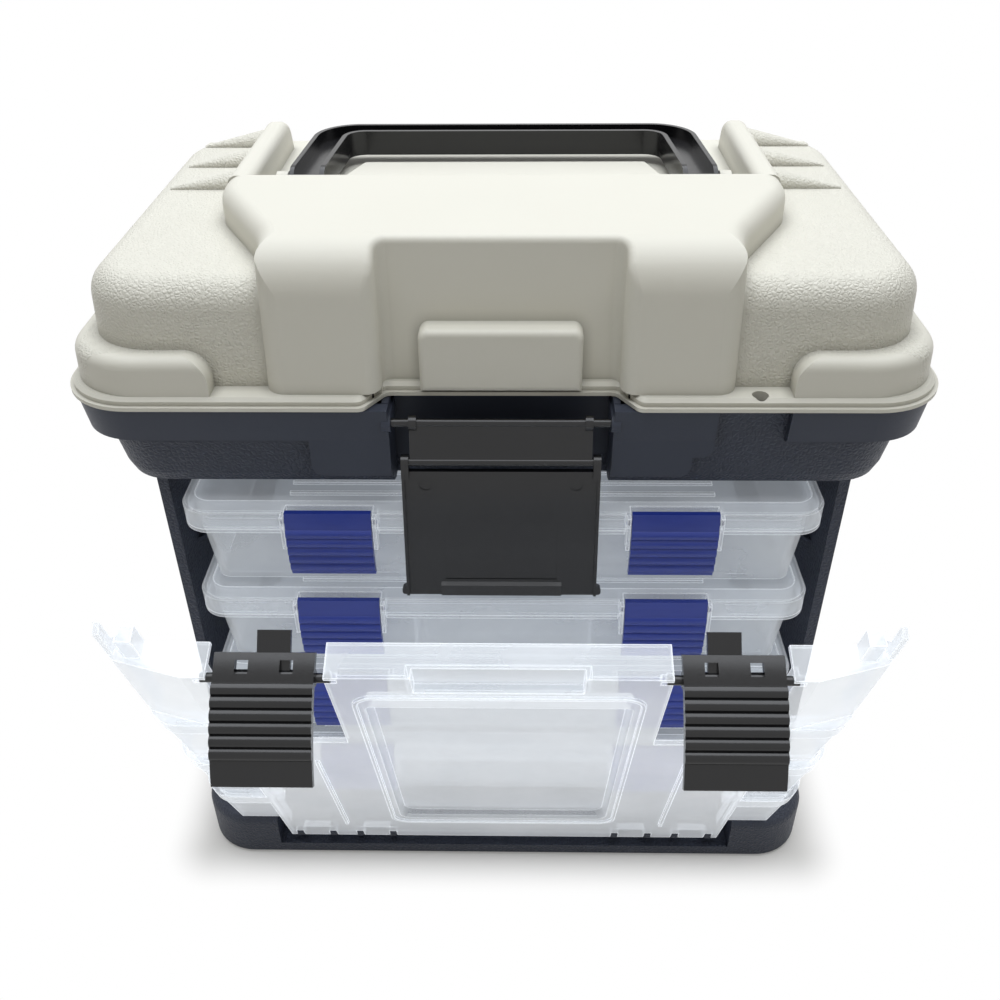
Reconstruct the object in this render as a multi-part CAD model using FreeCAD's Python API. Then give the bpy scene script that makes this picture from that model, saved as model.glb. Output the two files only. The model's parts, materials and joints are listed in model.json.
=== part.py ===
import FreeCAD, Part
import math
import os
from FreeCAD import Vector

# Fishing tackle cabinet: a rack of four clear utility boxes under a bulk bin with a hinged lid.
# Millimetres, +Z up, front towards -Y. The origin is on the ground under the middle of the base.

# Utility boxes
box_width = 269.0
box_depth = 184.0
box_height = 44.0
box_count = 4
box_wall = 1.6
box_corner = 12.0
body_inset = 8.0
body_side_out = 4.0
body_draft = 3.5
rim_height = 9.0
flange_thick = 1.8
skirt_wall = 1.8
lid_panel_edge = 4.0
lid_panel_deep = 0.5
lid_rib_high = 0.8
lid_rib_wide = 1.6
lid_rib_pitch = 8.0
lid_rib_rows = 3
divider_thick = 1.2
divider_count = 2
divider_drop = 3.0

# Latches of the utility boxes
clip_place = 71.5
clip_wide = 35.8
clip_long = 31.5
clip_thick = 2.4
clip_bulge = 1.7
clip_bands = 5
clip_head_share = 0.24
clip_foot_share = 0.06
clip_groove = 0.9
clip_pivot_drop = 4.5
clip_pin = 1.0
clip_notch = 5.0
clip_ear = 1.6
clip_ear_drop = 8.0
clip_side_gap = 0.4
clip_rise = 0.5
clip_hook = 1.8

# Rack
pin_fit = 0.06
seat_gap = 0.2
level_gap = 3.0
runner_thick = 2.2
runner_reach = 27.5
runner_front = 60.0
side_gap = 8.6
panel_thick = 2.5
panel_bead = 4.5
panel_set = 16.0
rear_space = 14.0
rear_rib_count = 5
rear_rib_thick = 3.0

# Base tray
base_ledge = 9.9
base_margin = 16.0
base_height = 28.0
base_corner = 25.0
base_draft = 2.0
base_round = 5.0
base_wall = 3.0
base_rib = 4.0
base_inner_corner = 14.0
bay_half = 116.0
bay_floor = 8.0
bay_depth = 10.0

# Door hinge
hinge_back = 3.0
hinge_height = 16.0
barrel_radius = 3.2
hinge_pin = 2.0
lug_thick = 3.0
lug_radius = 4.0
lug_places = (57.0, 74.0, 88.0, 105.0)
lug_gap = 0.3

# Door, drawn upright and then tilted open as it rests
door_open_angle = 22.0
door_stand = 7.0
door_wall = 2.2
door_lower = 3.0
door_foot_half = 110.0
door_head_half = 112.5
door_shelf = 203.0
door_shelf_deep = 14.0
door_side = 5.8
door_wrap = 18.5
wing_fold = 6.5
wing_foot = 14.5
ledge_corner = 13.0
ledge_over = 2.6
ledge_high = 9.0
ledge_plate = 1.6
scallop_side = 5.0
scallop_front = 3.8
scallop_taper = 2.5
scallop_shift = 0.5
ear_top = 221.0
ear_back = 5.5
ear_depth = 4.0
peg_width = 6.0
peg_top = 216.0
centre_half = 62.0
notch_outer = 104.0
notch_low = 137.0
notch_wall_deep = 6.2
notch_boss_deep = 3.8
notch_boss_low = 196.5
window_head_half = 50.2
window_foot_half = 50.2
window_foot = 29.0
window_head = 176.0
window_deep = 4.0
scoop_half = 31.0
scoop_deep = 4.0
scoop_low = 190.0
frame_out = 4.3
frame_round = 9.0
door_rib_place = 78.0
door_rib_head = 115.0
door_rib_foot = 21.0
door_rib_wide = 1.6
door_rib_proud = 1.2

# Door latches, drawn closed and then swung open as they rest
latch_open_angle = 62.0
latch_place = 83.0
latch_wide = 36.0
latch_pivot = 200.0
latch_pivot_deep = 1.5
latch_above = 9.0
latch_below = 38.0
latch_thick = 3.0
latch_bulge = 4.0
latch_bands = 6
latch_head_share = 0.22
latch_foot_share = 0.2
latch_groove = 1.2
latch_barrel = 3.0
latch_pin = 1.8
latch_slot = 4.8
latch_slot_place = 8.0
latch_slot_drop = 2.6
tongue_wide = 12.0
tongue_long = 17.0
tongue_thick = 2.2
tongue_shift = 3.0

# Bulk bin
bin_height = 40.0
bin_lift = 7.6
bin_overhang = 13.4
bin_flare = 7.0
bin_tuck = 8.0
bin_rake = 4.0
bin_rear_over = 2.0
bin_corner = 24.0
bin_wall = 2.6
bin_toe = 7.0
bin_band_out = 6.0
bin_band_proud = 3.5
bin_band_deep = 9.0
bin_band_high = 16.0
bin_band_swell = 3.5
bin_pocket_half = 44.0
bin_pocket_deep = 12.0
bin_step_inner = 76.0
bin_step_outer = 84.0
bin_step_round = 5.0
bin_step_high = 31.0
bin_step_mid = 22.0
bin_gap_outer = 112.0

# Lid
lid_gap = 0.3
lip_over = 2.5
lip_front_over = 1.0
lip_rear_over = 1.0
lip_corner = 30.0
lip_high = 4.8
lip_bead = 1.6
lip_round = 1.4
lip_notch_half = 45.0
lip_notch_run = 8.0
lip_notch_deep = 13.0
shoulder_shelf = 13.5
shoulder_front_set = 14.5
shoulder_rear_set = 7.0
shoulder_corner = 26.0
shoulder_rise = 46.7
shoulder_draft = 3.0
shoulder_round = 12.0
bumper_rise = 20.0
bumper_shelf = 3.5
bumper_front_set = 3.0
bumper_inner = 112.0
bumper_side = 40.0
bumper_draft = 1.0
bumper_round = 5.0
bumper_end = 10.0
band_rise = 15.0
band_rear_half = 118.5
band_rear = 8.0
band_turn = 22.0
band_turn_round = 30.0
band_neck = 91.0
band_neck_set = 10.5
band_neck_round = 36.0
band_draft = 1.0
band_round = 7.0
pillar_set = 5.0
pillar_setback = 4.0
pillar_corner = 8.0
pillar_crown = 19.0
pillar_inner_corner = 6.0
band_clear = 0.05
recess_half = 46.5
recess_deep = 13.0
recess_setback = 4.0
recess_corner = 4.0
recess_crown = 3.0
lid_wall = 3.0
pad_half = 31.5
pad_set = 5.0
pad_rise = 3.0
pad_high = 26.0
pad_round = 2.5
pad_corner = 4.0
ramp_set = 22.0
ramp_rear = 50.0
ramp_rise = 2.5
fin_stand = 14.0
fin_thick = 11.0
fin_rear_set = 18.0
fin_cut = 6.0
fin_round = 4.0
fin_end = 10.0
grip_count = 3
grip_last = 9.0
grip_start = 18.0
grip_tip = 151.0
grip_high = 9.0
grip_run = 10.0
grip_face = 2.4
grip_swell = 6.8
grip_tip_share = 0.1
tie_hole = 3.2
tie_hole_place = 99.5
tie_hole_edge = 5.3

# Lid hinge
rear_hinge_out = 6.0
rear_hinge_rise = 1.2
knuckle_radius = 4.5
knuckle_count = 7
knuckle_long = 30.0
knuckle_gap = 0.5
rod_radius = 1.9

# Carrying handle, folded down towards the rear
grip_pivot = 4.0
handle_floor_gap = 0.5
handle_splay = 4.0
bar_half = 88.0
handle_leg = 15.0
handle_rear = 67.0
handle_bar = 12.5
handle_foot_radius = 7.5
handle_deep = 11.0
handle_outer_round = 20.0
handle_inner_round = 8.0
channel_wall = 2.0
channel_deep = 5.0
handle_pin = 2.4
lug_clear = 1.2
handle_lug = 5.0
handle_lug_radius = 4.6

# Main latch
bar_drop = 7.0
bar_radius = 1.7
bar_half_long = 47.0
bracket_half = 43.0
bracket_radius = 3.6
link_half = 36.0
link_long = 16.0
link_hang_angle = 16.0
link_thick = 2.4
ring_wide = 3.0
ring_radius = 3.1
plate_half = 39.5
plate_lip_half = 41.5
plate_long = 60.0
plate_hang_angle = 9.5
plate_thick = 3.0
plate_rim = 1.2
plate_hook_half = 25.0
plate_hook_high = 3.5
plate_hook_proud = 1.8
plate_ear = 3.0
plate_gap = 0.5
plate_dish = 0.4
plate_dot = 2.7
plate_dot_place = 30.0
plate_dot_drop = 5.5
plate_field_half = 23.0
plate_field_top = 22.0
plate_field_foot = 49.0
overrun = 1.0

# Levels and places that follow from the sizes above
base_front = box_depth / 2 + base_margin
box_front = -box_depth / 2 - base_margin / 2
box_rear = box_front + box_depth
panel_front = -box_front - panel_set
panel_rear = box_rear + rear_space
door_plane = door_stand - box_front
bin_foot_front = -box_front - bin_tuck
bin_head_front = bin_foot_front + bin_rake
bin_band_front = bin_head_front + bin_band_proud
bin_pocket_front = bin_foot_front - bin_pocket_deep
bin_back = panel_rear + bin_rear_over
bin_band_rear = bin_back + bin_band_deep
lip_front = bin_band_front + lip_front_over
lip_rear = bin_band_rear + lip_rear_over
rear_hinge = lip_rear + rear_hinge_out
shoulder_front = lip_front - shoulder_front_set
shoulder_rear = lip_rear - shoulder_rear_set
bumper_front = lip_front - bumper_front_set
pillar_front = lip_front - pillar_set
recess_front = pillar_front - recess_deep
band_neck_front = recess_front - band_neck_set
pad_front = pillar_front - pad_set
bar_front = bin_head_front
foot_half = bar_half + handle_splay
ramp_half = bar_half - ramp_set
fin_inner = foot_half + fin_stand
fin_rear = shoulder_rear - fin_rear_set
grip_pitch = (shoulder_rear - shoulder_round - grip_last - grip_start) / (grip_count - 1)
level_pitch = box_height + level_gap
box_low = base_height + runner_thick + seat_gap
box_rim = box_low + box_height - rim_height
box_top = box_low + box_height
rack_top = box_low + box_count * box_height + (box_count - 1) * level_gap
bin_low = rack_top + bin_lift
bin_top = bin_low + bin_height
panel_inner = box_width / 2 + side_gap
base_half = panel_inner + panel_thick + base_ledge
bin_foot_half = panel_inner + panel_thick + bin_overhang
bin_head_half = bin_foot_half + bin_flare
bin_band_half = bin_head_half + bin_band_out
door_half = box_width / 2 + door_side
door_front = -door_plane
hinge_y = door_front + hinge_back
lid_low = bin_top + lid_gap
lid_floor = lid_low + lip_high
lip_half = bin_band_half + lip_over
shoulder_half = lip_half - shoulder_shelf
shoulder_top = lid_low + shoulder_rise
bumper_half = lip_half - bumper_shelf
bumper_top = lid_low + bumper_rise
band_top = shoulder_top + band_rise
ramp_low = shoulder_top + ramp_rise
pad_foot = lid_low + pad_rise
rear_hinge_height = lid_low + rear_hinge_rise
bar_height = bin_top - bar_drop
grip_pivot_height = shoulder_top + handle_foot_radius + handle_floor_gap
handle_top = grip_pivot_height + handle_foot_radius
latch_y = door_front + latch_pivot_deep
latch_z = hinge_height + latch_pivot


def spot(plane, a, b, at):
    """A point of a drawing: seen from the top (X, Y), the side (Y, Z) or the front (X, Z)."""
    if plane == "top":
        return Vector(a, b, at)
    if plane == "side":
        return Vector(at, a, b)
    return Vector(a, at, b)


def outline(plane, at, points, radii=0):
    """A closed wire through points, each corner rounded by its radius."""
    if not isinstance(radii, (list, tuple)):
        radii = [radii] * len(points)
    flat = [Vector(a, b, 0) for a, b in points]
    corners = []
    for i, p in enumerate(flat):
        u = (flat[i - 1] - p).normalize()
        v = (flat[(i + 1) % len(flat)] - p).normalize()
        if radii[i] <= 0:
            corners.append((p, None, p))
            continue
        half = u.getAngle(v) / 2
        start = p + u * (radii[i] / math.tan(half))
        end = p + v * (radii[i] / math.tan(half))
        middle = (u + v).normalize()
        centre = p + middle * (radii[i] / math.sin(half))
        corners.append((start, centre - middle * radii[i], end))
    placed = [[q and spot(plane, q.x, q.y, at) for q in c] for c in corners]
    edges = []
    for i, (start, middle, end) in enumerate(placed):
        if middle:
            edges.append(Part.Arc(start, middle, end).toShape())
        after = placed[(i + 1) % len(placed)][0]
        edges.append(Part.LineSegment(end, after).toShape())
    return Part.Wire(edges)


def slab(plane, low, high, points, radii=0):
    """A plate of a rounded outline between two levels of its plane."""
    face = Part.Face(outline(plane, low, points, radii))
    return face.extrude(spot(plane, 0, 0, high) - spot(plane, 0, 0, low))


def loft(*wires):
    return Part.makeLoft(list(wires), True, True)


def block(x0, x1, y0, y1, z0, z1):
    return Part.makeBox(x1 - x0, y1 - y0, z1 - z0, Vector(x0, y0, z0))


def rod(x0, x1, y, z, radius):
    """A round bar along X."""
    return Part.makeCylinder(radius, x1 - x0, Vector(x0, y, z), Vector(1, 0, 0))


def rectangle(half, front, rear):
    return [(-half, front), (half, front), (half, rear), (-half, rear)]


def join(shapes):
    whole = shapes[0]
    if len(shapes) > 1:
        whole = whole.multiFuse(shapes[1:])
    return whole.removeSplitter()


def mirrored(shape):
    return shape.mirror(Vector(0, 0, 0), Vector(1, 0, 0))


def pair(shape):
    return [shape, mirrored(shape)]


def turned(shape, y, z, degrees):
    """A copy turned about a line along X."""
    copy = shape.copy()
    copy.rotate(Vector(0, y, z), Vector(1, 0, 0), degrees)
    return copy


def raised(shape, height):
    copy = shape.copy()
    copy.translate(Vector(0, 0, height))
    return copy


def save(name, shape):
    solids = shape.Solids
    kept = solids[0] if len(solids) == 1 else Part.makeCompound(solids)
    kept.exportStep(os.path.join("parts", name + ".step"))


# Utility box


def box_outline(inset, z, side_out=0):
    """The plan of the utility box at a height, drawn in by an inset, less so at its sides."""
    corner = max(box_corner - inset / 2, box_corner / 4)
    points = rectangle(box_width / 2 - inset + side_out, box_front + inset, box_rear - inset)
    return outline("top", z, points, corner)


def box_slab(inset, z0, z1, side_out=0):
    return Part.Face(box_outline(inset, z0, side_out)).extrude(Vector(0, 0, z1 - z0))


def clip_sides():
    half = clip_wide / 2 + clip_side_gap
    return [(side * clip_place - half, side * clip_place + half) for side in (-1, 1)]


def box_tray():
    foot = body_inset + body_draft
    ceiling = box_top - box_wall
    out = body_side_out
    outer = loft(box_outline(foot, box_low, out), box_outline(body_inset, box_rim, out))
    collar = box_slab(body_inset, box_rim, ceiling, out)
    flange = box_slab(0, box_rim - flange_thick, box_rim)
    tray = join([outer, collar, flange])
    hollow = loft(
        box_outline(foot + box_wall, box_low + box_wall, out),
        box_outline(body_inset + box_wall, box_rim, out),
    )
    mouth = box_slab(body_inset + box_wall, box_rim, ceiling + overrun, out)
    tray = tray.cut(join([hollow, mouth]))
    spine = block(
        -box_width / 2 + foot - out,
        box_width / 2 - foot + out,
        -divider_thick / 2,
        divider_thick / 2,
        box_low + box_wall,
        box_rim - divider_drop,
    )
    tray = join([tray, spine])
    for x0, x1 in clip_sides():
        front = block(
            x0 - clip_ear - clip_side_gap,
            x1 + clip_ear + clip_side_gap,
            box_front - overrun,
            box_front + clip_hook,
            box_rim - flange_thick - overrun,
            box_rim + overrun,
        )
        tray = tray.cut(front)
    return tray


def clip_pivot():
    return box_front - clip_thick / 4, box_top - clip_pivot_drop


def box_cover():
    """The lid of a utility box, with its latch notches, pivot ears and stacking ribs."""
    edge = skirt_wall / 2
    skirt = box_slab(0, box_rim, box_top - edge)
    crown = loft(box_outline(0, box_top - edge), box_outline(edge, box_top))
    cover = join([skirt, crown])
    cover = cover.cut(box_slab(skirt_wall, box_rim - overrun, box_top - box_wall))
    panel = rectangle(
        box_width / 2 - lid_panel_edge,
        box_front + clip_notch + skirt_wall + lid_rib_wide,
        box_rear - lid_panel_edge,
    )
    round_corner = box_corner - lid_panel_edge
    cover = cover.cut(slab("top", box_top - lid_panel_deep, box_top + overrun, panel, round_corner))
    y, z = clip_pivot()
    extra = []
    for x0, x1 in clip_sides():
        notch = block(
            x0,
            x1,
            box_front - overrun,
            box_front + clip_notch,
            box_rim - overrun,
            box_top + overrun,
        )
        cover = cover.cut(notch)
        extra.append(
            block(
                x0 - skirt_wall,
                x1 + skirt_wall,
                box_front + clip_notch,
                box_front + clip_notch + skirt_wall,
                box_rim,
                box_top - edge,
            )
        )
        for a, b in ((x0 - clip_ear, x0), (x1, x1 + clip_ear)):
            ear = block(
                a,
                b,
                y - clip_thick,
                box_front + clip_notch + skirt_wall,
                box_rim,
                box_top - edge,
            )
            extra.append(ear)
            cheek_rear = box_front + clip_hook - seat_gap
            extra.append(block(a, b, y - clip_thick, cheek_rear, box_rim - clip_ear_drop, box_rim))
    for k in range(lid_rib_rows):
        back = box_front + clip_notch + lid_rib_pitch * (k + 1)
        half = clip_place + clip_wide / 2
        extra.append(block(-half, half, back, back + lid_rib_wide, box_top - edge, box_top + lid_rib_high))
    cover = join([cover] + extra)
    for x0, x1 in clip_sides():
        cover = cover.cut(rod(x0 - clip_ear, x1 + clip_ear, y, z, clip_pin + pin_fit))
    return cover


def banded(top, bottom, inner_top, inner_bottom, bulge, bands, groove, plain_shares, x0, x1):
    """A curved latch body: a bulged shell with rounded bands between its plain head and foot."""
    (ty, tz), (by, bz) = top, bottom

    def outer(share, depth):
        swell = bulge * 4 * share * (1 - share) + depth
        return Vector(x0, ty + (by - ty) * share - swell, tz + (bz - tz) * share)

    head = plain_shares[0]
    foot = 1 - plain_shares[1]
    edges = [Part.Arc(outer(0, 0), outer(head / 2, 0), outer(head, 0)).toShape()]
    pitch = (foot - head) / bands
    for k in range(bands):
        start = outer(head + k * pitch, 0)
        middle = outer(head + (k + 0.5) * pitch, groove)
        end = outer(head + (k + 1) * pitch, 0)
        edges.append(Part.Arc(start, middle, end).toShape())
    edges.append(Part.Arc(outer(foot, 0), outer((1 + foot) / 2, 0), outer(1, 0)).toShape())
    start = outer(0, 0)
    end = outer(1, 0)
    (iy, iz), (jy, jz) = inner_bottom, inner_top
    low = Vector(x0, iy, iz)
    high = Vector(x0, jy, jz)
    middle = Vector(x0, (iy + jy) / 2 - bulge, (iz + jz) / 2)
    edges.append(Part.LineSegment(end, low).toShape())
    edges.append(Part.Arc(low, middle, high).toShape())
    edges.append(Part.LineSegment(high, start).toShape())
    return Part.Face(Part.Wire(edges)).extrude(Vector(x1 - x0, 0, 0))


def box_clip(side):
    """A blue latch that hinges on the lid and hooks under the tray's flange."""
    y, z = clip_pivot()
    x0 = side * clip_place - clip_wide / 2
    x1 = side * clip_place + clip_wide / 2
    top = (y - clip_thick / 2, box_top + clip_rise)
    bottom = (y - clip_thick / 2, box_top + clip_rise - clip_long)
    body = banded(
        top,
        bottom,
        (top[0] + clip_thick, top[1]),
        (bottom[0] + clip_thick, bottom[1]),
        clip_bulge,
        clip_bands,
        clip_groove,
        (clip_head_share, clip_foot_share),
        x0,
        x1,
    )
    bead = rod(x0, x1, y, z, clip_thick / 2)
    pin = rod(x0 - clip_side_gap - clip_ear, x1 + clip_side_gap + clip_ear, y, z, clip_pin)
    under = box_rim - flange_thick - seat_gap
    nib = block(
        x0 + clip_thick,
        x1 - clip_thick,
        y - clip_thick,
        box_front + clip_hook + clip_hook / 2,
        under - clip_hook,
        under,
    )
    return join([body, bead, pin, nib])


def box_dividers():
    """The loose cross plates, one group either side of the tray's spine."""
    foot = body_inset + body_draft + box_wall
    top = box_rim - divider_drop
    span = box_width - 2 * foot
    plates = []
    for k in range(divider_count):
        x = -span / 2 + span * (k + 1) / (divider_count + 1)
        for y0, y1 in (
            (box_front + foot + seat_gap, -divider_thick / 2 - seat_gap),
            (divider_thick / 2 + seat_gap, box_rear - foot - seat_gap),
        ):
            plates.append(
                block(
                    x - divider_thick / 2,
                    x + divider_thick / 2,
                    y0,
                    y1,
                    box_low + box_wall,
                    top,
                )
            )
    return Part.makeCompound(plates)


# Rack


def base_wire(inset, z):
    front = base_front - inset
    return outline("top", z, rectangle(base_half - inset, -front, front), base_corner - inset)


def base():
    """The base tray: a drafted shell on ribs, with a bay at the front for the door's hinge."""
    outer = loft(
        base_wire(base_draft, 0),
        base_wire(0, base_draft),
        base_wire(0, base_height),
    )
    rim = [e for e in outer.Edges if e.BoundBox.ZMin > base_height - base_draft]
    outer = outer.makeFillet(base_round, rim)
    bay_back = -base_front + bay_depth
    hollow_front = bay_back + base_wall
    hollow_rear = base_front - base_wall - base_draft
    hollow = slab(
        "top",
        -overrun,
        base_height - base_wall,
        rectangle(base_half - base_wall - base_draft, hollow_front, hollow_rear),
        base_inner_corner,
    )
    tray = outer.cut(hollow)
    tray = tray.cut(
        block(-bay_half, bay_half, -base_front - overrun, bay_back, bay_floor, base_height + overrun)
    )
    rib = block(-base_rib / 2, base_rib / 2, hollow_front, hollow_rear, 0, base_height - base_wall)
    lugs = []
    for x in lug_places:
        plate = block(
            x - lug_thick / 2,
            x + lug_thick / 2,
            hinge_y,
            bay_back,
            hinge_height - lug_radius,
            hinge_height + lug_radius,
        )
        nose = rod(x - lug_thick / 2, x + lug_thick / 2, hinge_y, hinge_height, lug_radius)
        hole = rod(x - lug_thick, x + lug_thick, hinge_y, hinge_height, hinge_pin + pin_fit)
        lugs += pair(join([plate, nose]).cut(hole))
    return join([tray, rib] + lugs)


def side_panel():
    """The right side of the rack, with a beaded front edge and a runner for each box."""
    wall = block(panel_inner, panel_inner + panel_thick, -panel_front, panel_rear, base_height, bin_low)
    bead = slab(
        "top",
        base_height,
        bin_low,
        [
            (panel_inner + panel_thick - panel_bead, -panel_front),
            (panel_inner + panel_thick, -panel_front),
            (panel_inner + panel_thick, -panel_front + panel_bead),
            (panel_inner, -panel_front + panel_bead),
        ],
    )
    parts = [wall, bead]
    for k in range(box_count):
        z = base_height + k * level_pitch
        parts.append(
            slab(
                "top",
                z,
                z + runner_thick,
                [
                    (panel_inner, -runner_front),
                    (panel_inner, panel_rear - panel_thick),
                    (panel_inner - runner_reach, panel_rear - panel_thick),
                    (panel_inner - runner_reach, -runner_front + runner_reach),
                ],
            )
        )
    return join(parts)


def rear_panel():
    """The rear wall, whose upright ribs stop the boxes."""
    face = panel_rear - panel_thick
    parts = [block(-panel_inner, panel_inner, face, panel_rear, base_height, bin_low)]
    reach = panel_inner - runner_reach - rear_rib_thick
    for k in range(rear_rib_count):
        x = -reach + 2 * reach * k / (rear_rib_count - 1)
        parts.append(
            block(
                x - rear_rib_thick / 2,
                x + rear_rib_thick / 2,
                box_rear + seat_gap,
                face,
                base_height,
                bin_low,
            )
        )
    return join(parts)


# Door


def door_plan(points, radii, low, high):
    """A slab of the upright door from a plan of (X, depth behind its front face)."""
    placed = [(x, door_front + n) for x, n in points]
    return slab("top", hinge_height + low, hinge_height + high, placed, radii)


def door_face(points, radii, near, far):
    """A slab of the upright door from a drawing of (X, height over the hinge)."""
    placed = [(x, hinge_height + s) for x, s in points]
    return slab("front", door_front + near, door_front + far, placed, radii)


def door_box(x0, x1, n0, n1, s0, s1):
    return block(x0, x1, door_front + n0, door_front + n1, hinge_height + s0, hinge_height + s1)


def ledge_tops():
    """Heights over the hinge of the three ledges, each beside the rim of a stowed box."""
    return [box_top + k * level_pitch + ledge_over - hinge_height for k in range(box_count - 1)]


def door_ledge(top):
    """The rounded corner rim beside one box rim, closed above and below."""
    inner = door_half - door_wall
    deep = scallop_front + door_wall
    low = top - ledge_high
    corner = ledge_corner - door_wall
    rim = door_plan(
        [
            (notch_outer, 0),
            (door_half, 0),
            (door_half, door_wrap),
            (inner, door_wrap),
            (inner, door_wall),
            (notch_outer, door_wall),
        ],
        [0, ledge_corner, 0, 0, corner, 0],
        low,
        top,
    )
    corner_points = [(notch_outer, 0), (door_half, 0), (door_half, door_wrap), (notch_outer, door_wrap)]
    full = door_plan(corner_points, [0, ledge_corner, 0, 0], low, top)
    under = door_box(notch_outer, door_half, 0, deep, low, low + ledge_plate)
    over = door_box(notch_outer, door_half, 0, deep, top - ledge_plate, top)
    return [rim, full.common(under), full.common(over)]


def scallop_wire(side_drop, shift, height):
    """The plan of the drawn-in wall under a ledge."""
    side = door_half - scallop_side - side_drop
    front = scallop_front + shift
    face = door_foot_half
    points = [
        (face - door_wall, 0),
        (face, 0),
        (face, front),
        (side, front),
        (side, front + door_wall),
        (face - door_wall, front + door_wall),
    ]
    placed = [(x, door_front + n) for x, n in points]
    return outline("top", hinge_height + height, placed)


def door_wing():
    """One corner of the door: the folded wing above and three ledges with drawn-in walls below."""
    tops = ledge_tops()
    parts = []
    for k, top in enumerate(tops):
        parts += door_ledge(top)
        high = top - ledge_high + ledge_plate / 2
        low = wing_foot if k == 0 else tops[k - 1] - ledge_plate / 2
        parts.append(loft(scallop_wire(scallop_taper, scallop_shift, low), scallop_wire(0, 0, high)))
    inner = door_half - door_wall
    fold_x = door_half - door_wall
    fold = [
        (notch_outer, 0),
        (door_head_half, 0),
        (fold_x, wing_fold),
        (door_half, wing_fold + door_wall),
        (door_half, door_wrap),
        (inner, door_wrap),
        (inner, wing_fold + 2 * door_wall),
        (fold_x - door_wall, wing_fold + door_wall),
        (door_head_half, door_wall),
        (notch_outer, door_wall),
    ]
    head = tops[-1] - ledge_plate
    parts.append(door_plan(fold, 0, head, door_shelf))
    parts.append(
        door_plan(
            [
                (notch_outer, door_wall / 2),
                (door_head_half, door_wall / 2),
                (fold_x - door_wall / 2, wing_fold + door_wall / 2),
                (inner, door_shelf_deep),
                (notch_outer, door_shelf_deep),
            ],
            0,
            door_shelf - door_wall,
            door_shelf,
        )
    )
    parts.append(door_box(notch_outer, notch_outer + door_wall, 0, notch_wall_deep, notch_low, door_shelf))
    ear = slab(
        "side",
        inner,
        door_half,
        [
            (door_front + door_wrap, hinge_height + door_shelf - door_wall),
            (door_front + door_wrap - ear_back, hinge_height + door_shelf + ear_back),
            (door_front + door_wrap - ear_back, hinge_height + ear_top),
            (door_front + door_wrap - ear_back - ear_depth, hinge_height + ear_top - ear_depth / 2),
            (door_front + wing_fold + door_wall, hinge_height + door_shelf - door_wall),
        ],
    )
    parts.append(ear)
    peg_x = fold_x - 2 * door_wall
    peg_front = wing_fold + door_wall / 2
    parts.append(
        door_box(peg_x - peg_width, peg_x, peg_front, door_shelf_deep, door_shelf - door_wall, peg_top)
    )
    return join(parts)


def door_window():
    """The drawn-in middle panel, as its outer form and the space cut from it."""

    def wire(inset, depth):
        half_low = window_foot_half - inset
        half_high = window_head_half - inset
        points = [
            (-half_low, window_foot + inset),
            (half_low, window_foot + inset),
            (half_high, window_head - inset),
            (-half_high, window_head - inset),
        ]
        placed = [(x, hinge_height + s) for x, s in points]
        round_foot = window_deep + door_wall
        return outline("front", door_front + depth, placed, [round_foot, round_foot, door_wall, door_wall])

    slope = window_deep / 2
    outer = loft(wire(-door_wall, 0), wire(slope - door_wall, window_deep + door_wall))
    space = loft(wire(-slope * overrun / window_deep, -overrun), wire(slope, window_deep))
    return outer, space


def door_frame():
    """The raised line that frames the drawn-in panel and runs up to the finger scoop."""

    def plate(inset, near, far):
        low_half = window_foot_half + frame_out - inset
        high_half = window_head_half + frame_out - inset
        low = window_foot - frame_out + inset
        high = scoop_low - door_wall - inset
        points = [(-low_half, low), (low_half, low), (high_half, high), (-high_half, high)]
        return door_face(points, frame_round - inset, near, far)

    ring = plate(0, -door_rib_proud, door_wall)
    return ring.cut(plate(door_rib_wide, -door_rib_proud - overrun, door_wall + overrun))


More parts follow.
